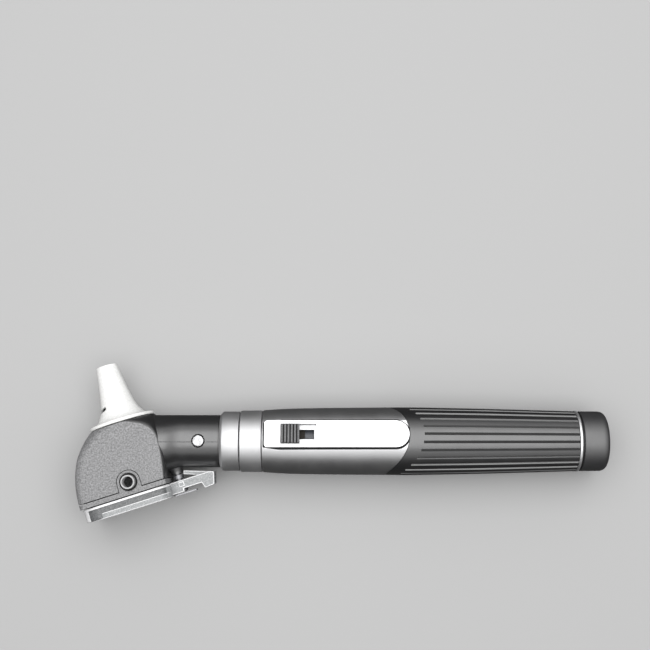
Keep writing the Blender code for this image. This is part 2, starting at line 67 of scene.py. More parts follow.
def addNode(tree, kind, settings=None, values=None, links=None):
    node = tree.nodes.new(kind)
    for key, value in (settings or {}).items():
        setattr(node, key, value)
    for key, value in (values or {}).items():
        node.inputs[key].default_value = value
    for key, source in (links or {}).items():
        tree.links.new(source, node.inputs[key])
    return node


def newMaterial(name, look):
    made = bpy.data.materials.new(name)
    made.use_nodes = True
    shader = made.node_tree.nodes["Principled BSDF"]
    for key, value in look.get("shader", {}).items():
        shader.inputs[key].default_value = value
    return made, made.node_tree, shader


def dressShader(tree, shader, look, tint, wear, span, relief):
    # colour follows tint, gloss follows wear over its span, and relief gives the bumps
    tone = addNode(tree, "ShaderNodeMix", {"data_type": "RGBA"}, {"A": linearColour(look["dark"]),
                   "B": linearColour(look["light"])}, {"Factor": tint})
    low, high = look["gloss"]
    gloss = addNode(tree, "ShaderNodeMapRange", {}, {"From Min": span[0], "From Max": span[1],
                    "To Min": low, "To Max": high}, {"Value": wear})
    bump = addNode(tree, "ShaderNodeBump", {}, {"Strength": look["bump"], "Distance": look["depthMm"] * mm},
                   {"Height": relief})
    tree.links.new(tone.outputs["Result"], shader.inputs["Base Color"])
    tree.links.new(gloss.outputs["Result"], shader.inputs["Roughness"])
    tree.links.new(bump.outputs["Normal"], shader.inputs["Normal"])


def mouldedPlastic(name, look):
    # tool texture as fine bumps and flecks, with cloudy gloss on a slow pattern
    made, tree, shader = newMaterial(name, look)
    place = addNode(tree, "ShaderNodeTexCoord").outputs["Object"]
    grain = addNode(tree, "ShaderNodeTexNoise", {}, {"Scale": 1 / (look["grainMm"] * mm), "Detail": 3.0,
                    "Roughness": 0.6}, {"Vector": place})
    cloud = addNode(tree, "ShaderNodeTexNoise", {}, {"Scale": 1 / (look["cloudMm"] * mm), "Detail": 4.0},
                    {"Vector": place})
    fleck = addNode(tree, "ShaderNodeMapRange", {}, {"From Min": 0.35, "From Max": 0.68,
                    "To Min": 0.0, "To Max": 1.0}, {"Value": grain.outputs["Fac"]})
    dressShader(tree, shader, look, fleck.outputs["Result"], cloud.outputs["Fac"], (0.3, 0.7),
                grain.outputs["Fac"])
    return made


def platedMetal(name, look):
    # fine turning lines round the axis, and a slow cloud in the gloss and the tone
    made, tree, shader = newMaterial(name, look)
    place = addNode(tree, "ShaderNodeTexCoord").outputs["Object"]
    stretch = addNode(tree, "ShaderNodeMapping", {}, {"Scale": look["stretch"]}, {"Vector": place})
    lines = addNode(tree, "ShaderNodeTexNoise", {}, {"Scale": 1 / (look["lineMm"] * mm), "Detail": 2.0},
                    {"Vector": stretch.outputs["Vector"]})
    cloud = addNode(tree, "ShaderNodeTexNoise", {}, {"Scale": 1 / (look["cloudMm"] * mm), "Detail": 5.0},
                    {"Vector": place})
    mixed = addNode(tree, "ShaderNodeMath", {"operation": "ADD"}, {},
                    {0: lines.outputs["Fac"], 1: cloud.outputs["Fac"]})
    dressShader(tree, shader, look, cloud.outputs["Fac"], mixed.outputs["Value"], (0.7, 1.3),
                lines.outputs["Fac"])
    return made


finishes = {
    # spark-textured ABS: dull, with real fine bumps and a fine painted speckle of glints where each tiny pit
    # catches light
    "headAbs": mouldedPlastic("sparkTexturedAbs", {"dark": "#666667", "light": "#969697", "grainMm": 0.5,
                "cloudMm": 5.0, "gloss": (0.5, 0.62), "bump": 0.5, "depthMm": 0.07,
                "shader": {"Specular IOR Level": 0.5}}),
    # the same ABS painted light grey on the air port stub: a painted highlight for the gleam on its rim
    "portHighlightAbs": mouldedPlastic("paintedHighlightPortAbs", {"dark": "#9c9c9d", "light": "#c4c4c5", "grainMm": 0.4,
                "cloudMm": 2.0, "gloss": (0.35, 0.5), "bump": 0.2, "depthMm": 0.04}),
    # the same ABS from a smoother part of the tool: darker, with a soft long gleam
    "neckAbs": mouldedPlastic("satinMouldedAbs", {"dark": "#161617", "light": "#262627", "grainMm": 0.4,
                "cloudMm": 4.0, "gloss": (0.32, 0.42), "bump": 0.22, "depthMm": 0.03,
                "shader": {"Specular IOR Level": 1.0, "Coat Weight": 1.0, "Coat Roughness": 0.3,
                           "Coat IOR": 1.6}}),
    # soft-touch handle moulding: near black, gleaming along its lands
    "gripAbs": mouldedPlastic("satinGripAbs", {"dark": "#0e0e0f", "light": "#18181a", "grainMm": 0.28,
                "cloudMm": 6.0, "gloss": (0.34, 0.44), "bump": 0.12, "depthMm": 0.03,
                "shader": {"Specular IOR Level": 1.0, "Coat Weight": 1.0, "Coat Roughness": 0.32,
                           "Coat IOR": 1.6}}),
    # smooth matte cap: black that spreads the light wide
    "capAbs": mouldedPlastic("matteCapAbs", {"dark": "#1e1e1f", "light": "#28282a", "grainMm": 0.3,
                "cloudMm": 4.0, "gloss": (0.44, 0.54), "bump": 0.1, "depthMm": 0.02,
                "shader": {"Specular IOR Level": 1.0, "Coat Weight": 1.0, "Coat Roughness": 0.48,
                           "Coat IOR": 1.6}}),
    # ribbed acetal knob: dark grey with dull ridges
    "knobAcetal": mouldedPlastic("ribbedAcetal", {"dark": "#555556", "light": "#727273", "grainMm": 0.25,
                "cloudMm": 2.0, "gloss": (0.45, 0.6), "bump": 0.2, "depthMm": 0.03}),
    # painted shade: the floors between the ribs are painted near black
    "ribShadeFloor": mouldedPlastic("paintedShadeAcetal", {"dark": "#161617", "light": "#262627", "grainMm": 0.25,
                "cloudMm": 2.0, "gloss": (0.7, 0.8), "bump": 0.2, "depthMm": 0.03}),
    # polypropylene specula: milky white with a wax-like gleam
    "speculumPp": mouldedPlastic("whitePolypropylene", {"dark": "#e2e2e0", "light": "#f0f0ef",
                "grainMm": 0.6, "cloudMm": 6.0, "gloss": (0.3, 0.42), "bump": 0.06, "depthMm": 0.03,
                "shader": {"Subsurface Weight": 0.15, "Subsurface Scale": 0.001,
                           "Subsurface Radius": (1.0, 1.0, 1.0)}}),
    # white inner mouldings
    "whiteAbs": mouldedPlastic("whiteAbs", {"dark": "#d0d0ce", "light": "#e0e0de", "grainMm": 0.4,
                "cloudMm": 3.0, "gloss": (0.4, 0.5), "bump": 0.1, "depthMm": 0.02}),
    # frosted acrylic: pale and half clear
    "windowAcrylic": mouldedPlastic("frostedAcrylic", {"dark": "#939596", "light": "#b6b8b9",
                "grainMm": 0.5, "cloudMm": 3.0, "gloss": (0.2, 0.34), "bump": 0.12, "depthMm": 0.03,
                "shader": {"Transmission Weight": 0.25, "IOR": 1.49}}),
    # painted highlight: thin lips and rounded edges are painted nearly white, as bright lines
    "edgeHighlightAcrylic": mouldedPlastic("paintedHighlightAcrylic", {"dark": "#dcdcdd", "light": "#eeeeef",
                "grainMm": 0.5, "cloudMm": 3.0, "gloss": (0.12, 0.2), "bump": 0.05, "depthMm": 0.02,
                "shader": {"IOR": 1.49}}),
    # painted shade: the recessed side of the frame is painted a darker grey, half clear
    "sideShadeAcrylic": mouldedPlastic("paintedShadeAcrylic", {"dark": "#5c5e5f", "light": "#818283",
                "grainMm": 0.45, "cloudMm": 2.5, "gloss": (0.2, 0.34), "bump": 0.15, "depthMm": 0.03,
                "shader": {"Transmission Weight": 0.3, "IOR": 1.49}}),
    # polished acrylic lens: clear with crisp glints
    "lensAcrylic": mouldedPlastic("polishedAcrylic", {"dark": "#e6e8e9", "light": "#f2f4f5",
                "grainMm": 2.0, "cloudMm": 6.0, "gloss": (0.02, 0.06), "bump": 0.02, "depthMm": 0.02,
                "shader": {"Transmission Weight": 1.0, "IOR": 1.49}}),
    # nitrile rings: dead black
    "sealRubber": mouldedPlastic("nitrileRubber", {"dark": "#0c0c0c", "light": "#181818", "grainMm": 0.3,
                "cloudMm": 2.0, "gloss": (0.65, 0.8), "bump": 0.3, "depthMm": 0.03}),
    # satin nickel plating over a turned body: a broad soft gleam, dark past the shoulder
    "satinNickel": platedMetal("satinNickel", {"dark": "#c6c6c7", "light": "#d0d0d1", "lineMm": 0.3,
                "cloudMm": 6.0, "stretch": (1.0, 0.05, 0.05), "gloss": (0.38, 0.43), "bump": 0.02,
                "depthMm": 0.006, "shader": {"Metallic": 1.0}}),
    # painted shade: the moat round the clip is painted near black and dull
    "moatShadeNickel": platedMetal("moatShadeNickel", {"dark": "#141415", "light": "#262627", "lineMm": 0.3,
                "cloudMm": 2.0, "stretch": (1.0, 1.0, 1.0), "gloss": (0.6, 0.75), "bump": 0.1,
                "depthMm": 0.01, "shader": {"Metallic": 0.5}}),
    # fine brushing round the rings: the gleam spreads further round than on the sleeve
    "brushedNickel": platedMetal("brushedNickel", {"dark": "#cacacb", "light": "#d6d6d7", "lineMm": 0.2,
                "cloudMm": 6.0, "stretch": (1.0, 0.05, 0.05), "gloss": (0.5, 0.56), "bump": 0.03,
                "depthMm": 0.008, "shader": {"Metallic": 1.0}}),
    # clip blasted before plating: even, softer and whiter
    "clipNickel": platedMetal("blastedNickel", {"dark": "#e2e2e3", "light": "#eeeeef", "lineMm": 0.25,
                "cloudMm": 6.0, "stretch": (1.0, 1.0, 1.0), "gloss": (0.32, 0.4), "bump": 0.06,
                "depthMm": 0.01, "shader": {"Metallic": 1.0}}),
    # polished chrome: mirror bright bands
    "chrome": platedMetal("polishedChrome", {"dark": "#eaeaeb", "light": "#f6f6f7", "lineMm": 0.3,
                "cloudMm": 3.0, "stretch": (1.0, 0.1, 0.1), "gloss": (0.44, 0.52), "bump": 0.02,
                "depthMm": 0.008, "shader": {"Metallic": 1.0}}),
    # peened steel pin: bright with small dents
    "pinSteel": platedMetal("peenedSteel", {"dark": "#1c1c1e", "light": "#f4f4f5", "lineMm": 0.45,
                "cloudMm": 0.7, "stretch": (1.0, 1.0, 1.0), "gloss": (0.25, 0.5), "bump": 0.9,
                "depthMm": 0.16, "shader": {"Metallic": 1.0}}),
    # turned steel, dull from tumbling
    "turnedSteel": platedMetal("tumbledSteel", {"dark": "#77777a", "light": "#b2b2b5", "lineMm": 0.4,
                "cloudMm": 0.8, "stretch": (1.0, 1.0, 1.0), "gloss": (0.4, 0.6), "bump": 0.5,
                "depthMm": 0.06, "shader": {"Metallic": 1.0}}),
    # brass contacts: warm and slightly tarnished
    "brass": platedMetal("tarnishedBrass", {"dark": "#a98c4e", "light": "#c9ac68", "lineMm": 0.3,
                "cloudMm": 2.0, "stretch": (1.0, 1.0, 1.0), "gloss": (0.25, 0.4), "bump": 0.1,
                "depthMm": 0.02, "shader": {"Metallic": 1.0}}),
    # painted shade: the switch slide is painted near black, so that nothing bright shows beside the knob
    "slotShadeBrass": platedMetal("paintedShadeBrass", {"dark": "#17140f", "light": "#2b2721", "lineMm": 0.3,
                "cloudMm": 1.5, "stretch": (1.0, 1.0, 1.0), "gloss": (0.5, 0.65), "bump": 0.15,
                "depthMm": 0.02, "shader": {"Metallic": 0.6}}),
    # printed film round the cells
    "cellWrap": mouldedPlastic("cellFilm", {"dark": "#3f4146", "light": "#54575d", "grainMm": 0.8,
                "cloudMm": 8.0, "gloss": (0.25, 0.35), "bump": 0.05, "depthMm": 0.02}),
}
print("finishes ready:", len(finishes))


def deselectAll():
    active = bpy.context.view_layer.objects.active
    if active and active.mode != "OBJECT":
        bpy.ops.object.mode_set(mode="OBJECT")
    bpy.ops.object.select_all(action="DESELECT")
    bpy.context.tool_settings.mesh_select_mode = (True, False, False)


def pickOnly(piece):
    deselectAll()
    piece.select_set(True)
    bpy.context.view_layer.objects.active = piece


def applyPlace():
    bpy.ops.object.transform_apply(location=True, rotation=True, scale=True)


def faceOut():
    # ends an edit with all the faces outwards
    bpy.ops.mesh.select_all(action="SELECT")
    bpy.ops.mesh.normals_make_consistent(inside=False)
    bpy.ops.object.mode_set(mode="OBJECT")


def pullOut(x, y, z):
    bpy.ops.mesh.extrude_region_move(TRANSFORM_OT_translate={"value": (x * mm, y * mm, z * mm)})


def selectWhere(piece, kind, test):
    # leaves the piece in edit mode with only the wanted corners or faces picked
    pickOnly(piece)
    mesh = piece.data
    for group in (mesh.vertices, mesh.edges, mesh.polygons):
        group.foreach_set("select", [False] * len(group))
    bpy.context.tool_settings.mesh_select_mode = (kind == "VERT", False, kind == "FACE")
    for item in (mesh.vertices if kind == "VERT" else mesh.polygons):
        item.select = test(item)
    bpy.ops.object.mode_set(mode="EDIT")


def smoothCurve(points, perSpan=4):
    # Catmull-Rom through the given points
    out = []
    for i in range(len(points) - 1):
        before = points[max(i - 1, 0)]
        after = points[min(i + 2, len(points) - 1)]
        a, b = points[i], points[i + 1]
        for k in range(perSpan):
            t = k / perSpan
            out.append(tuple(0.5 * (2 * a[n] + (b[n] - before[n]) * t
                       + (2 * before[n] - 5 * a[n] + 4 * b[n] - after[n]) * t * t
                       + (3 * a[n] - before[n] - 3 * b[n] + after[n]) * t ** 3) for n in (0, 1)))
    return out + [points[-1]]


def roundOver(start, end, corner, count=4):
    # a quarter round between two stations, bulging towards corner
    out = []
    for k in range(count + 1):
        t = k / count * math.pi / 2
        out.append(tuple(corner[n] + (start[n] - corner[n]) * (1 - math.sin(t))
                         + (end[n] - corner[n]) * (1 - math.cos(t)) for n in (0, 1)))
    return out


def turnPiece(name, stations, steps=96, hollow=False):
    # a circle drawn out along Z from station to station, as on a lathe
    deselectAll()
    height, radius = stations[0]
    bpy.ops.mesh.primitive_circle_add(vertices=steps, radius=radius * mm, location=(0, 0, height * mm),
                                      fill_type="NOTHING" if hollow else "NGON")
    piece = bpy.context.object
    piece.name = name
    bpy.ops.object.mode_set(mode="EDIT")
    bpy.ops.mesh.select_all(action="SELECT")
    for (height, radius), (nextHeight, nextRadius) in zip(stations, stations[1:]):
        pullOut(0, 0, nextHeight - height)
        if nextRadius != radius:
            grow = nextRadius / radius
            bpy.ops.transform.resize(value=(grow, grow, 1), center_override=(0, 0, nextHeight * mm))
    if hollow:
        bpy.ops.mesh.select_all(action="DESELECT")
        bpy.ops.mesh.select_mode(type="EDGE")
        bpy.ops.mesh.select_non_manifold()
        bpy.ops.mesh.bridge_edge_loops()
    faceOut()
    applyPlace()
    return piece


def roundedPlate(name, size, radii, low, high, segments=14):
    # left, right, near, far in X and Y; radii for the left and the right corners
    left, right, near, far = size
    middle = ((left + right) / 2 * mm, (near + far) / 2 * mm, low * mm)
    deselectAll()
    bpy.ops.mesh.primitive_plane_add(size=1, location=middle)
    piece = bpy.context.object
    piece.name = name
    piece.scale = ((right - left) * mm, (far - near) * mm, 1)
    applyPlace()
    for radius, end in zip(radii, (left, right)):
        if radius > 0:
            selectWhere(piece, "VERT", lambda vert: abs(vert.co.x - end * mm) < 1e-6)
            bpy.ops.mesh.bevel(offset=radius * mm, segments=segments, affect="VERTICES", profile=0.5)
            bpy.ops.object.mode_set(mode="OBJECT")
    bpy.ops.object.mode_set(mode="EDIT")
    bpy.ops.mesh.select_all(action="SELECT")
    pullOut(0, 0, high - low)
    faceOut()
    return piece


def drawMesh(name, points, faces):
    # leaves the piece in edit mode with all of it selected
    mesh = bpy.data.meshes.new(name)
    mesh.from_pydata([[value * mm for value in point] for point in points], [], faces)
    piece = bpy.data.objects.new(name, mesh)
    bpy.context.scene.collection.objects.link(piece)
    pickOnly(piece)
    bpy.ops.object.mode_set(mode="EDIT")
    bpy.ops.mesh.select_all(action="SELECT")
    return piece


def outlinePlate(name, outline, low, high):
    # an odd outline that no primitive gives, drawn as one face and extruded
    piece = drawMesh(name, [(a, b, low) for a, b in outline], [range(len(outline))])
    pullOut(0, 0, high - low)
    faceOut()
    return piece


def block(name, low, high, turn=(0, 0, 0), about=(0, 0, 0)):
    # a cutter or a blank: a cube at its size and place, turned about a point
    deselectAll()
    bpy.ops.mesh.primitive_cube_add(size=1, location=[(low[i] + high[i]) / 2 * mm for i in range(3)])
    piece = bpy.context.object
    piece.name = name
    piece.scale = [(high[i] - low[i]) * mm for i in range(3)]
    applyPlace()
    if any(turn):
        piece.location = [value * mm for value in about]
        piece.rotation_euler = turn
        applyPlace()
    return piece


def drawLoft(name, sections):
    # sections that change shape along the way; no primitive gives these
    count = len(sections[0])
    sides = [(r * count + i, r * count + (i + 1) % count, (r + 1) * count + (i + 1) % count,
              (r + 1) * count + i) for r in range(len(sections) - 1) for i in range(count)]
    ends = [range(count), range((len(sections) - 1) * count, len(sections) * count)]
    piece = drawMesh(name, [point for section in sections for point in section], sides + ends)
    faceOut()
    return piece


def applyModifier(piece, kind, **settings):
    pickOnly(piece)
    modifier = piece.modifiers.new(kind.title(), kind)
    for key, value in settings.items():
        setattr(modifier, key, value)
    bpy.ops.object.modifier_apply(modifier=modifier.name)


def combine(piece, tool, operation="DIFFERENCE", keepFinish=False):
    # keepFinish brings the tool's own finish along to the faces it leaves
    applyModifier(piece, "BOOLEAN", operation=operation, object=tool, solver="EXACT",
                  material_mode="TRANSFER" if keepFinish else "INDEX")
    bpy.data.objects.remove(tool)


def softenEdges(piece, width, segments=2, angle=30, slot=-1):
    # slot is the material slot of the rounded edges, or -1 for the one of the faces beside them
    applyModifier(piece, "BEVEL", width=width * mm, segments=segments, limit_method="ANGLE",
                  angle_limit=math.radians(angle), use_clamp_overlap=True, material=slot)


def moveTo(piece, spot):
    pickOnly(piece)
    piece.matrix_world = spot
    applyPlace()


def handOver(piece, finish, body, nodes, smooth=35):
    # finish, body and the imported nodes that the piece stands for
    if finish:
        piece.data.materials.clear()
        piece.data.materials.append(finishes[finish])
    pickOnly(piece)
    bpy.ops.object.shade_smooth_by_angle(angle=math.radians(smooth))
    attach(piece, body)
    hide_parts(*nodes)
    print("piece:", piece.name, len(piece.data.polygons), "faces")


drum = {"half": 10.5, "flangeRadius": 10.2, "top": -0.3, "depth": 20.15, "levels": 30, "wall": 1.5,
        "mouth": 7.2, "cavity": (-1.4, -2.0, -2.6, -3.5, -4.5, -6.0, -8.0, -10.5, -13.0, -17.0, -21.5)}
neck = {"radius": 8.1, "end": -6.5, "flareWide": 2.2, "flareDeep": 1.6, "flareStart": -24.5,
        "flareLength": 7.5, "flareSteps": 24, "buried": -27.7, "pinX": -12.5, "pinHole": 2.1,
        "spigot": [(-7.5, 7.6), (-0.8, 7.6), (-0.6, 7.4)],
        "bore": [(-29.0, 5.3), (-7.2, 5.3), (-7.2, 6.65), (1.0, 6.65)],
        "line": {"low": -0.48, "high": -0.22, "depth": 0.4}}
boss = {"top": (-20.3, 1.9), "skirt": [(-19.6, 1.95), (-18.6, 2.35), (-17.2, 3.1), (-13.0, 4.2)],
        "thread": 1.2}
window = {"pivotW": 11.8, "baseTop": -20.75, "baseBottom": -22.15}
port = {"w": -1.57, "v": -18.3, "bumpRadius": 3.45, "bumpGap": 0.22, "hole": 2.75}
pivotSpot = Matrix.Translation((window["pivotW"] * mm, 0, 0))
portSpot = Matrix.Translation((port["w"] * mm, port["v"] * mm, 0))


def roundRectPoints(left, right, half, leftRadius, rightRadius, perCorner):
    leftRadius, rightRadius = min(leftRadius, half), min(rightRadius, half)
    corners = [(right - rightRadius, -half + rightRadius, rightRadius, -90),
               (right - rightRadius, half - rightRadius, rightRadius, 0),
               (left + leftRadius, half - leftRadius, leftRadius, 90),
               (left + leftRadius, -half + leftRadius, leftRadius, 180)]
    points = []
    for a, b, radius, start in corners:
        for k in range(perCorner + 1):
            t = math.radians(start + 90 * k / perCorner)
            points.append((a + radius * math.cos(t), b + radius * math.sin(t)))
    return points


def drumSection(v, inset=0.0, perCorner=14):
    depth = -v
    t = min(depth / 21.0, 1.0)
    left = -(drum["flangeRadius"] + 8.1 * (1.0 - (1.0 - t) ** 2.2)) + inset
    right = drum["flangeRadius"] + 1.1 * math.sin(math.pi * t) - 0.9 * t - inset
    half = drum["half"] - 0.55 * math.exp(-depth / 2.0) - inset
    corner = drum["flangeRadius"] * math.exp(-depth / 6.0)
    edge = drum["flangeRadius"] * math.exp(-depth / 3.4)
    leftRadius = min(max(corner, 3.0) - inset * 0.5, half - 0.2)
    rightRadius = min(max(edge, 1.2) - inset * 0.2, half - 0.2)
    return roundRectPoints(left, right, half, leftRadius, rightRadius, perCorner)


def drumRing(v, inset=0.0):
    return [(w, v, z) for w, z in drumSection(v, inset)]


def neckRing(x, flare, count=96):
    top, bottom = neck["radius"], -neck["radius"] - neck["flareDeep"] * flare
    side = neck["radius"] + neck["flareWide"] * flare
    turns = [math.tau * i / count for i in range(count)]
    return [(x, (top + bottom) / 2 + (top - bottom) / 2 * math.cos(t), side * math.sin(t)) for t in turns]


def neckFlares():
    # places along the neck, and how far it has widened there towards the drum, eased at both ends
    steps = neck["flareSteps"]
    eased = [(neck["flareStart"] + neck["flareLength"] * k / steps, 0.5 + 0.5 * math.cos(math.pi * k / steps))
             for k in range(steps + 1)]
    return [(neck["buried"], 1.0)] + eased


def makeNeckParts(flares):
    barrel = drawLoft("neckBarrel", [neckRing(x, flare) for x, flare in flares + [(neck["end"], 0.0)]])
    moveTo(barrel, neckSpot)
    spigot = turnPiece("neckSpigot", neck["spigot"])
    moveTo(spigot, neckSpot @ alongX)
    foot = turnPiece("pivotBoss", [boss["top"]] + smoothCurve(boss["skirt"]), 64)
    moveTo(foot, pivotSpot @ alongV)
    for part in (barrel, spigot, foot):
        part.data.materials.append(finishes["neckAbs"])
    return barrel, spigot, foot


def partingCut(flares, side):
    # a shallow channel along the neck, which follows its flare
    line = neck["line"]
    strip = [(x, side * (neck["radius"] + neck["flareWide"] * flare)) for x, flare in flares[1:]]
    strip.append((neck["end"] + 0.4, side * neck["radius"]))
    corners = ((line["low"], -1), (line["high"], -1), (line["high"], 1), (line["low"], 1))
    cut = drawLoft("partingLine", [[(x, y, z + way * line["depth"]) for y, way in corners] for x, z in strip])
    moveTo(cut, neckSpot)
    return cut


def makeHeadShell():
    levels = [drum["top"] - drum["depth"] * (k / drum["levels"]) ** 1.5 for k in range(drum["levels"] + 1)]
    housing = drawLoft("headShell", [drumRing(v) for v in levels])
    housing.data.materials.append(finishes["headAbs"])
    flares = neckFlares()
    for part in makeNeckParts(flares):
        combine(housing, part, "UNION", keepFinish=True)
    combine(housing, drawLoft("drumCavity", [drumRing(v, drum["wall"]) for v in drum["cavity"]]))
    mouth = turnPiece("coneMouth", [(-3.0, drum["mouth"]), (1.0, drum["mouth"])])
    moveTo(mouth, alongV)
    combine(housing, mouth)
    bore = turnPiece("neckBore", neck["bore"])
    moveTo(bore, neckSpot @ alongX)
    combine(housing, bore)
    combine(housing, makeBump("bumpNotch", port["bumpGap"], 6.0, 12.0, -25.0))
    pinHole = turnPiece("pinHole", [(4.0, neck["pinHole"]), (12.0, neck["pinHole"])], 64)
    moveTo(pinHole, neckSpot @ Matrix.Translation((neck["pinX"] * mm, 0, 0)))
    combine(housing, pinHole)
    threadHole = turnPiece("threadHole", [(-21.0, boss["thread"]), (-15.0, boss["thread"])], 32)
    moveTo(threadHole, pivotSpot @ alongV)
    combine(housing, threadHole)
    for side in (-1, 1):     # parting line of the mould along the neck, above and below
        combine(housing, partingCut(flares, side))
    satin = housing.data.materials.find(finishes["neckAbs"].name)
    for face in housing.data.polygons:     # painted shade: faces past the flat ones that turn away from the top take the darker neck finish; the shoulder is as smooth as the neck
        if face.center.x > 1.0 * mm and abs(face.normal.z) < 0.93:
            face.material_index = satin
    moveTo(housing, headSpot)
    handOver(housing, None, "head", ["head_housing"], 32)


def makeBump(name, spread, low, high, foot):
    # the raised tongue round the air port: a round end on a straight foot
    radius = port["bumpRadius"] + spread
    bump = turnPiece(name, [(low, radius), (high, radius)], 96)
    moveTo(bump, portSpot)
    leg = block(name + "Foot", (port["w"] - radius, foot, low), (port["w"] + radius, port["v"], high))
    combine(bump, leg, "UNION")
    return bump


casing = {"section": -21.0, "opening": 2.6, "sealSeat": 2.2, "seatDepth": 0.7, "tongueBack": 9.0,
          "rounding": 0.07}


def casingCut(name, inset, low, high):
    # straight through the casing, a set distance inside its outline
    outline = drumSection(casing["section"], inset)
    return drawLoft(name, [[(w, v, z) for w, z in outline] for v in (low, high)])


def makeWindowBase():
    top, bottom = window["baseTop"], window["baseBottom"]
    ring = drawLoft("windowBaseRing", [drumRing(v) for v in (top, bottom)])
    tongue = makeBump("portTongue", 0.0, casing["tongueBack"], drum["half"], top - 0.6)
    combine(ring, tongue, "UNION")
    combine(ring, casingCut("baseOpening", casing["opening"], -25.0, top + 0.2))
    combine(ring, casingCut("sealSeat", casing["sealSeat"], -23.0, bottom + casing["seatDepth"]))
    hole = turnPiece("portHole", [(4.0, port["hole"]), (14.0, port["hole"])], 64)
    moveTo(hole, portSpot)
    combine(ring, hole)
    softenEdges(ring, casing["rounding"], 2, 50)
    moveTo(ring, headSpot)
    handOver(ring, "headAbs", "head", ["window_base"])


stub = {"foot": 8.7, "end": 12.2, "radius": 2.1, "bore": [(12.2, 1.75), (12.1, 1.65), (8.7, 1.6)]}


def makeAirPort():
    end, radius = stub["end"], stub["radius"]
    rim = roundOver((end - 0.15, radius), (end, radius - 0.15), (end, radius))
    tube = turnPiece("airPortStub", [(stub["foot"], radius)] + rim + stub["bore"], 64, True)
    moveTo(tube, headSpot @ portSpot)
    # painted highlight: the stub takes the light grey port finish
    handOver(tube, "portHighlightAbs", "head", ["insufflation_port"])


speculum = {"flange": 10.2, "wall": 0.6, "end": 18.7, "slotHeight": 4.4, "slotSlope": -14.0,
            "slot": ((-9.0, -0.6, -2.0), (-2.5, 0.6, 4.7)), "slotRound": 0.4,
            "skirt": [(1.0, 8.9), (1.4, 8.1), (2.0, 7.35), (2.8, 6.75), (4.0, 6.05), (5.4, 5.5),
                      (7.2, 5.05), (9.7, 4.6), (14.4, 3.85), (18.3, 3.3)]}


def makeSpeculum():
    flange = speculum["flange"]
    outside = [(0.0, flange - 0.25)] + roundOver((0.0, flange - 0.25), (0.3, flange), (0.0, flange))[1:]
    outside += roundOver((0.75, flange), (1.0, flange - 0.25), (1.0, flange))
    skin = smoothCurve(speculum["skirt"])
    end = speculum["end"]
    tip = roundOver((end - 0.35, 3.29), (end, 3.0), (end, 3.29))
    inside = [(v, r - speculum["wall"]) for v, r in smoothCurve(speculum["skirt"][1:-1:2], 3)]
    stations = outside + skin + tip + [(end, 2.75)] + inside[::-1] + [(0.0, 8.2)]
    cover = turnPiece("earSpeculum", stations, 128, True)
    moveTo(cover, alongV)
    low, high = speculum["slot"]
    slot = block("slotCutter", low, high, (math.radians(speculum["slotSlope"]), 0, 0),
                 (0, speculum["slotHeight"], 0))
    softenEdges(slot, speculum["slotRound"], 4)
    combine(cover, slot)
    moveTo(cover, headSpot)
    handOver(cover, "speculumPp", "speculum", ["speculum"], 40)


pin = {"foot": 5.7, "rim": 8.2, "radius": 1.74, "face": [(8.24, 0.8), (8.22, 0.3)]}
collar = [(-6.2, 8.25), (-6.15, 8.35), (-5.4, 9.12), (-5.2, 9.2), (-0.45, 9.2), (-0.28, 9.15), (-0.2, 9.0),
          (-0.2, 7.9), (-6.2, 7.9)]
post = [(-25.9, 1.8), (-25.8, 1.9), (-25.2, 1.9), (-25.2, 1.1), (-21.9, 1.1), (-21.9, 1.6),
        (-21.85, 1.65), (-20.7, 1.65), (-20.6, 1.55), (-20.6, 0.9), (-15.6, 0.9)]


def makeLockPin():
    rim, radius = pin["rim"], pin["radius"]
    edge = roundOver((rim - 0.25, radius), (rim, 1.45), (rim, radius))
    disc = turnPiece("neckPinDisc", [(pin["foot"], radius)] + edge + pin["face"], 64)
    moveTo(disc, handleSpot @ Matrix.Translation((neck["pinX"] * mm, 0, 0)))
    handOver(disc, "pinSteel", "head", ["neck_lock_pin"])


def makeCollar():
    ring = turnPiece("collarRing", collar, 160, True)
    moveTo(ring, handleSpot @ alongX)
    handOver(ring, "brushedNickel", "head", ["collar"], 25)


def makePivotPost():
    screw = turnPiece("pivotPost", post, 48)
    moveTo(screw, headSpot @ pivotSpot @ alongV)
    handOver(screw, "turnedSteel", "head", ["pivot_pin"])


lever = {"half": 3.6, "prongHalf": 1.9, "edge": 0.28, "pad": ((11.7, -24.5, -3.8), (13.5, -22.9, 3.8)),
         "body": [(7.6, -22.45), (21.7, -22.4), (23.2, -22.9), (22.2, -26.7), (19.2, -26.9), (18.6, -25.1),
                  (12.9, -25.1), (12.9, -26.1), (7.6, -26.1)],
         "prong": [(18.6, -23.4), (18.0, -22.5), (13.75, -20.9), (14.1, -19.75), (22.8, -22.75),
                   (22.0, -23.6)],
         "hole": [(-28.0, 2.2), (-24.9, 2.2), (-24.9, 1.4), (-19.0, 1.4)]}
plates = {"windowFrame": {"size": (-18.3, 9.3, -10.0, 10.0), "radii": (6.0, 4.0), "span": (22.45, 23.2)},
          "windowCore": {"size": (-18.1, 9.3, -9.6, 9.6), "radii": (6.0, 3.8), "span": (23.05, 26.4)},
          "windowBezel": {"size": (-15.0, 9.3, -10.0, 10.0), "radii": (5.0, 4.0), "span": (24.9, 26.65)}}
lens = {"seat": (-16.8, 7.1, 8.4, 5.2), "seatFloor": 23.35,
        "sight": (-15.9, 6.2, 7.5, 4.6), "sightFloor": 20.0,
        "gap": 0.3, "span": (23.65, 25.1), "steps": ((0.35, 0.4), (0.4, 0.28), (0.6, 0.22), (0.9, 0.17))}


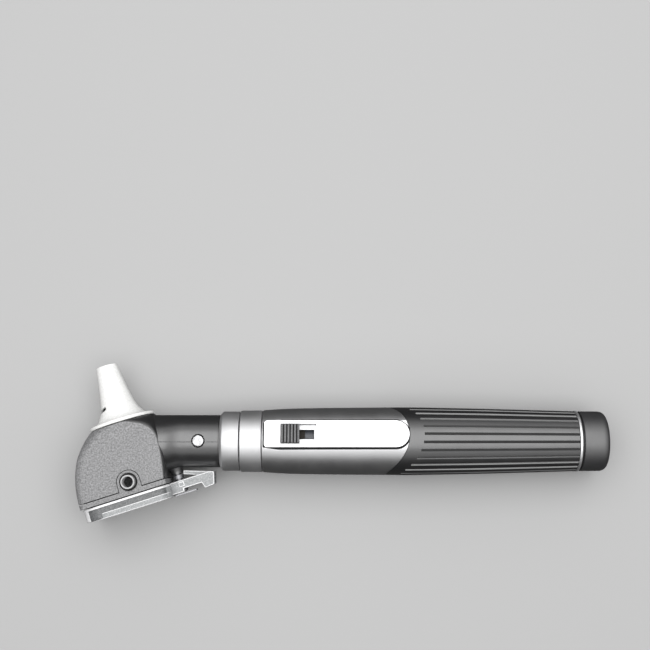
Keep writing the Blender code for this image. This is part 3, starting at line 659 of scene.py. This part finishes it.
def makeLever():
    half, prongHalf = lever["half"], lever["prongHalf"]
    parts = (outlinePlate("windowArm", lever["body"], -half, half),
             outlinePlate("windowProng", lever["prong"], -prongHalf, prongHalf),
             block("pivotPad", *lever["pad"]))
    for part in parts:
        part.data.materials.append(finishes["windowAcrylic"])
        part.data.materials.append(finishes["edgeHighlightAcrylic"])
        # painted highlight: the rounded edges take the near-white edge finish
        softenEdges(part, lever["edge"], 3, 30, 1)
    return parts


def makeWindow():
    # a thin lip painted near white as a highlight, a recessed core painted darker grey as shade and a raised
    # bezel with painted highlights on its rounded edges, then the pivot block and the lever
    stack = []
    for name, finish, rounding in (("windowFrame", "edgeHighlightAcrylic", (0.2, 2, 50)),
                                   ("windowCore", "sideShadeAcrylic", (0.25, 3, 50)),
                                   ("windowBezel", "windowAcrylic", (0.22, 3, 50, 1))):
        plate = plates[name]
        part = roundedPlate(name, plate["size"], plate["radii"], *plate["span"], 20)
        part.data.materials.append(finishes[finish])
        part.data.materials.append(finishes["edgeHighlightAcrylic"])
        softenEdges(part, *rounding)
        moveTo(part, faceDown)
        stack.append(part)
    carrier, core, bezel = stack
    for part in (core, bezel, *makeLever()):
        combine(carrier, part, "UNION", keepFinish=True)
    hole = turnPiece("pivotHole", lever["hole"], 48)
    moveTo(hole, pivotSpot @ alongV)
    combine(carrier, hole)
    for outline, floor in ((lens["seat"], lens["seatFloor"]), (lens["sight"], lens["sightFloor"])):
        left, right, half, radius = outline
        cut = roundedPlate("lensCut", (left, right, -half, half), (radius, radius), floor, 30.0, 20)
        moveTo(cut, faceDown)
        combine(carrier, cut)
    plain, lit, side = [carrier.data.materials.find(finishes[finish].name)
                        for finish in ("windowAcrylic", "edgeHighlightAcrylic", "sideShadeAcrylic")]
    for face in carrier.data.polygons:     # painted highlight: the rounded end of the core takes the near-white edge finish, and its far end the plain one
        if face.material_index == side and face.center.x < -15.9 * mm:
            face.material_index = lit
        elif face.material_index == side and face.center.x > 8.4 * mm:
            face.material_index = plain
    moveTo(carrier, headSpot)
    handOver(carrier, None, "window", ["window_carrier"], 30)


def makeLens():
    # a dome in steps, narrower and lower each time
    left, right, half, radius = lens["seat"]
    gap = lens["gap"]
    body = roundedPlate("windowLens", (left + gap, right - gap, -half + gap, half - gap),
                        (radius - gap, radius - gap), *lens["span"], 20)
    selectWhere(body, "FACE", lambda face: face.normal.z > 0.9)
    for thickness, rise in lens["steps"]:
        bpy.ops.mesh.inset(thickness=thickness * mm, depth=0)
        bpy.ops.transform.translate(value=(0, 0, rise * mm))
    bpy.ops.object.mode_set(mode="OBJECT")
    moveTo(body, headSpot @ faceDown)
    handOver(body, "lensAcrylic", "window", ["magnifier_lens"], 40)


shell = {"bore": 8.6, "start": 6.95, "sleeveEnd": 56.0, "gripStart": 40.0, "gripEnd": 103.8,
         "tongueRadius": 11.2, "tongueTip": 52.0, "joint": 0.12,
         "profile": [(6.95, 9.6), (12.0, 9.95), (19.0, 10.2), (30.0, 10.35), (42.0, 10.45), (52.0, 10.5),
                     (62.0, 10.35), (75.0, 10.1), (88.0, 9.75), (103.8, 9.3)]}
grooves = {"count": 26, "reach": 0.54, "narrow": 0.78, "land": 4.5, "crown": 10.45,
           "bend": 75.0, "fall": 0.35, "tail": 33.0, "tailFall": 0.95}
clip = {"start": 7.75, "tip": 51.9, "half": 4.15, "low": 9.5, "high": 10.5, "gap": 0.5, "channel": 8.8,
        "recessGap": 0.3, "recessFloor": 9.2, "screw": 9.9, "screwRadius": 1.0,
        "switchSlot": ((13.3, -1.5, 7.0), (23.0, 1.5, 12.0)), "rounding": 0.2}
knob = {"start": 12.9, "length": 5.6, "half": 2.9, "low": 9.5, "top": 11.4, "slot": (12.7, 23.6, 3.15),
        "ribs": 5, "pitch": 1.0, "cutHalf": 0.24, "cutDepth": 0.6, "stem": (1.7, 1.2, 8.5)}


def shellStations(start, end):
    curve = smoothCurve(shell["profile"], 6)
    def radiusAt(x):
        for (a, ra), (b, rb) in zip(curve, curve[1:]):
            if a <= x <= b:
                return ra + (rb - ra) * (x - a) / (b - a)
        return curve[-1][1]
    return [(start, radiusAt(start))] + [(x, r) for x, r in curve if start + 0.4 < x < end - 0.4] \
        + [(end, radiusAt(end))]


def tongueBlock(name, spread):
    # covers all on the head's side of the arc where the metal ends
    centre = shell["tongueTip"] - shell["tongueRadius"]
    radius = shell["tongueRadius"] + spread
    disc = turnPiece(name, [(-14.0, radius), (14.0, radius)], 256)
    moveTo(disc, Matrix.Translation((centre * mm, 0, 0)))
    combine(disc, block(name + "Rest", (-5.0, -14.0, -14.0), (centre, 14.0, 14.0)), "UNION")
    return disc


def clipChannel():
    # a moat round the clip; makeSleeve paints it dark as shade
    rim = clip["half"] + clip["gap"]
    moat = roundedPlate("clipChannel", (clip["start"] - clip["gap"], clip["tip"] + clip["gap"], -rim, rim),
                        (1.4, rim - 0.01), clip["channel"], 14.0, 24)
    under = 0.15     # the island stays just inside the clip's own outline
    inner = clip["half"] - under
    island = roundedPlate("clipIsland", (clip["start"] + under, clip["tip"] - under, -inner, inner),
                          (0.9, inner - 0.01), clip["channel"] - 1.0, 15.0, 24)
    combine(moat, island)
    return moat


def makeSleeve():
    first, last, bore = shell["start"], shell["sleeveEnd"], shell["bore"]
    stations = shellStations(first, last)
    rim = stations[0][1]
    stations = [(first, rim - 0.2), (first + 0.1, rim - 0.04)] + stations[1:]
    stations += [(last, bore), (first, bore)]
    sleeve = turnPiece("sleeveShell", stations, 208, True)
    moveTo(sleeve, alongX)
    gap = clip["recessGap"]
    size = (clip["start"] - gap, 60.0, -clip["half"] - gap, clip["half"] + gap)
    recess = roundedPlate("clipRecess", size, (1.2, 0), clip["recessFloor"], 14.0)
    sleeve.data.materials.append(finishes["satinNickel"])
    combine(sleeve, recess)
    moat = clipChannel()
    # painted shade: the moat takes a near-black finish
    moat.data.materials.append(finishes["moatShadeNickel"])
    combine(sleeve, moat, keepFinish=True)
    combine(sleeve, block("switchSlot", *clip["switchSlot"]))
    hole = turnPiece("screwHole", [(7.0, clip["screwRadius"]), (12.0, clip["screwRadius"])], 32)
    moveTo(hole, Matrix.Translation((clip["screw"] * mm, 0, 0)))
    combine(sleeve, hole)
    combine(sleeve, tongueBlock("tongue", 0.0), "INTERSECT")
    moveTo(sleeve, clipSpot)
    handOver(sleeve, None, "handle", ["metal_sleeve"], 30)


def makeGroove(angle):
    # a square on its corner, drawn out along the grip, so each groove is a vee with one wall to the light
    across = abs(10.4 * math.sin(angle))
    start = shell["tongueTip"] - shell["tongueRadius"] + grooves["land"]
    start += math.sqrt(shell["tongueRadius"] ** 2 - across ** 2)
    middle = (start * mm, 0, grooves["crown"] * mm)
    deselectAll()
    bpy.ops.mesh.primitive_circle_add(vertices=4, radius=grooves["reach"] * mm, fill_type="NGON",
                                      rotation=(0, math.radians(90), 0), location=middle)
    bpy.ops.object.mode_set(mode="EDIT")
    bpy.ops.mesh.select_all(action="SELECT")
    bpy.ops.transform.resize(value=(1, grooves["narrow"], 1), center_override=middle)
    pullOut(grooves["bend"] - start, 0, -grooves["fall"])
    pullOut(grooves["tail"], 0, -grooves["tailFall"])
    faceOut()
    applyPlace()
    cutter = bpy.context.object
    moveTo(cutter, Matrix.Rotation(angle, 4, "X"))
    return cutter


def makeGrip():
    stations = shellStations(shell["gripStart"], shell["gripEnd"])
    stations += [(shell["gripEnd"], shell["bore"]), (shell["gripStart"], shell["bore"])]
    grip = turnPiece("gripShell", stations, 208, True)
    moveTo(grip, alongX)
    combine(grip, tongueBlock("tongueAndGap", shell["joint"]))
    cutters = [makeGroove(k * math.tau / grooves["count"]) for k in range(grooves["count"])]
    deselectAll()
    for cutter in cutters:
        cutter.select_set(True)
    bpy.context.view_layer.objects.active = cutters[0]
    bpy.ops.object.join()
    combine(grip, cutters[0])
    moveTo(grip, clipSpot)
    handOver(grip, "gripAbs", "handle", ["grip"], 30)


rings = {"top": [(0.1, 9.25), (0.13, 9.35), (0.3, 9.5), (6.6, 9.55), (6.75, 9.45), (6.75, 6.8), (0.1, 6.8)],
         "chrome": {"low": 103.95, "high": 104.75, "side": 9.2, "radius": 9.4, "bore": 8.6}}


def makeRings():
    band = turnPiece("topBand", rings["top"], 160, True)
    moveTo(band, handleSpot @ alongX)
    handOver(band, "brushedNickel", "handle", ["top_ring"], 25)
    low, high, side, radius, bore = rings["chrome"].values()
    profile = roundOver((low, side), (low + 0.25, radius), (low, radius))
    profile += roundOver((high - 0.25, radius), (high, side), (high, radius))
    trim = turnPiece("chromeBand", profile + [(high, bore), (low, bore)], 160, True)
    moveTo(trim, handleSpot @ alongX)
    handOver(trim, "chrome", "handle", ["chrome_ring"], 50)


def makeClip():
    size = (clip["start"], clip["tip"], -clip["half"], clip["half"])
    strip = roundedPlate("clipStrip", size, (1.0, clip["half"] - 0.005), clip["low"], clip["high"], 24)
    left, right, half = knob["slot"]
    combine(strip, block("knobSlot", (left, -half, 8.0), (right, half, 12.0)))
    softenEdges(strip, clip["rounding"], 3, 50)
    moveTo(strip, clipSpot)
    handOver(strip, "clipNickel", "clip", ["pocket_clip"], 35)


def makeKnob():
    end = knob["start"] + knob["length"]
    middle = (knob["start"] + end) / 2
    body = block("thumbKnob", (knob["start"], -knob["half"], knob["low"]), (end, knob["half"], knob["top"]))
    softenEdges(body, 0.25, 3)
    body.data.materials.append(finishes["knobAcetal"])
    cutHalf, floor = knob["cutHalf"], knob["top"] - knob["cutDepth"]
    for k in range(knob["ribs"]):
        x = middle + (k - knob["ribs"] // 2) * knob["pitch"]
        cut = block("ribCut", (x - cutHalf, -4.0, floor), (x + cutHalf, 4.0, 13.0))
        # painted shade on each rib floor
        cut.data.materials.append(finishes["ribShadeFloor"])
        combine(body, cut, keepFinish=True)
    stemX, stemY, foot = knob["stem"]
    stem = block("knobStem", (middle - stemX, -stemY, foot), (middle + stemX, stemY, knob["low"] + 0.2))
    combine(body, stem, "UNION")
    moveTo(body, clipSpot)
    handOver(body, None, "switch", ["switch_knob"])


cap = {"side": [(105.4, 9.05), (105.45, 9.15), (105.6, 9.25), (108.5, 9.25), (111.2, 9.24)],
       "shoulder": [(111.5, 9.22), (112.2, 9.05), (112.8, 8.68), (113.2, 8.1), (113.36, 7.4)],
       "end": [(113.4, 6.4), (113.4, 1.0)],
       "hollow": [(104.4, 8.6), (110.0, 8.6), (110.0, 7.9), (112.0, 7.9)]}


def makeCap():
    body = turnPiece("screwCap", cap["side"] + smoothCurve(cap["shoulder"]) + cap["end"], 160)
    combine(body, turnPiece("capHollow", cap["hollow"], 96))
    moveTo(body, handleSpot @ alongX)
    handOver(body, "capAbs", "cap", ["end_cap"], 30)


makeHeadShell()
makeWindowBase()
makeAirPort()
makeSpeculum()
makeLockPin()
makeCollar()
makePivotPost()
makeWindow()
makeLens()
makeSleeve()
makeGrip()
makeRings()
makeClip()
makeKnob()
makeCap()

# nodes whose shape is right keep it and get a finish
carried = {
    "sealRubber": ["window_seal", "port_seal", "cap_seal"],
    "gripAbs": ["speculum_cone"],
    "chrome": ["fibre_tip_ring", "lamp_module", "contact_spring", "clip_screw", "cap_contact", "cap_spring"],
    "lensAcrylic": ["fibre_bundle"],
    "whiteAbs": ["lamp_insulator", "contact_carrier"],
    "brass": ["lamp_pin", "contact_plunger"],
    # painted shade: the switch slide
    "slotShadeBrass": ["switch_slider"],
    "turnedSteel": ["window_leaf", "battery_tube", "coupling_insert"],
    "cellWrap": ["battery_1", "battery_2"],
}
for finish, names in carried.items():
    for name in names:
        node = frame["nodes"][name]
        node.data.materials.clear()
        node.data.materials.append(finishes[finish])
print("carried nodes finished")


studio = {"floor": "#acacac", "floorSize": 1.8, "world": 0.045, "wall": 0.5,
          "lamps": {"keySoftbox": (0.7, 0.12, 0.5, 3.0), "wideSoftbox": (3.0, 0.5, 0.65, 24.0)},
          "camera": {"place": (-5.65, -3.73, 342.46), "tilt": 7, "lens": 58.5, "sensor": 36, "near": 10}}


def makeFloor():
    deselectAll()
    bpy.ops.mesh.primitive_plane_add(size=studio["floorSize"], location=(0, 0, 0))
    floor = bpy.context.object
    floor.name = "studioFloor"
    matte = {"Base Color": linearColour(studio["floor"]), "Roughness": 0.9, "Specular IOR Level": 0.1}
    floor.data.materials.append(newMaterial("paleFloor", {"shader": matte})[0])
    floor.visible_glossy = False     # a matte table: it lights the object but leaves no mirror image in it


def makeLights():
    # size, place in Y, height and power of each: a bright middle inside a wide soft sheet
    for name, (size, offset, height, power) in studio["lamps"].items():
        deselectAll()
        bpy.ops.object.light_add(type="AREA", location=(0.0, offset, height))
        lamp = bpy.context.object
        lamp.name = name
        lamp.data.shape = "SQUARE"
        lamp.data.size = size
        lamp.data.energy = power
    world = bpy.data.worlds.new("studioWorld")
    world.use_nodes = True
    tree = world.node_tree
    fill = tree.nodes["Background"]
    fill.inputs["Color"].default_value = (1, 1, 1, 1)
    fill.inputs["Strength"].default_value = studio["world"]
    # the wall behind the table looks pale, but its light on the object stays weak
    wall = addNode(tree, "ShaderNodeBackground", {}, {"Color": (1, 1, 1, 1), "Strength": studio["wall"]})
    seen = addNode(tree, "ShaderNodeLightPath").outputs["Is Camera Ray"]
    both = addNode(tree, "ShaderNodeMixShader", {}, {}, {0: seen, 1: fill.outputs["Background"],
                   2: wall.outputs["Background"]})
    tree.links.new(both.outputs["Shader"], tree.nodes["World Output"].inputs["Surface"])
    bpy.context.scene.world = world
    bpy.context.scene.view_settings.view_transform = "Standard"


def makeCamera():
    view = studio["camera"]
    deselectAll()
    bpy.ops.object.camera_add(location=[value * mm for value in view["place"]],
                              rotation=(math.radians(view["tilt"]), 0, 0))
    camera = bpy.context.object
    camera.data.lens = view["lens"]
    camera.data.sensor_width = view["sensor"]
    camera.data.clip_start = view["near"] * mm
    bpy.context.scene.camera = camera


makeFloor()
makeLights()
makeCamera()
print("stage ready")
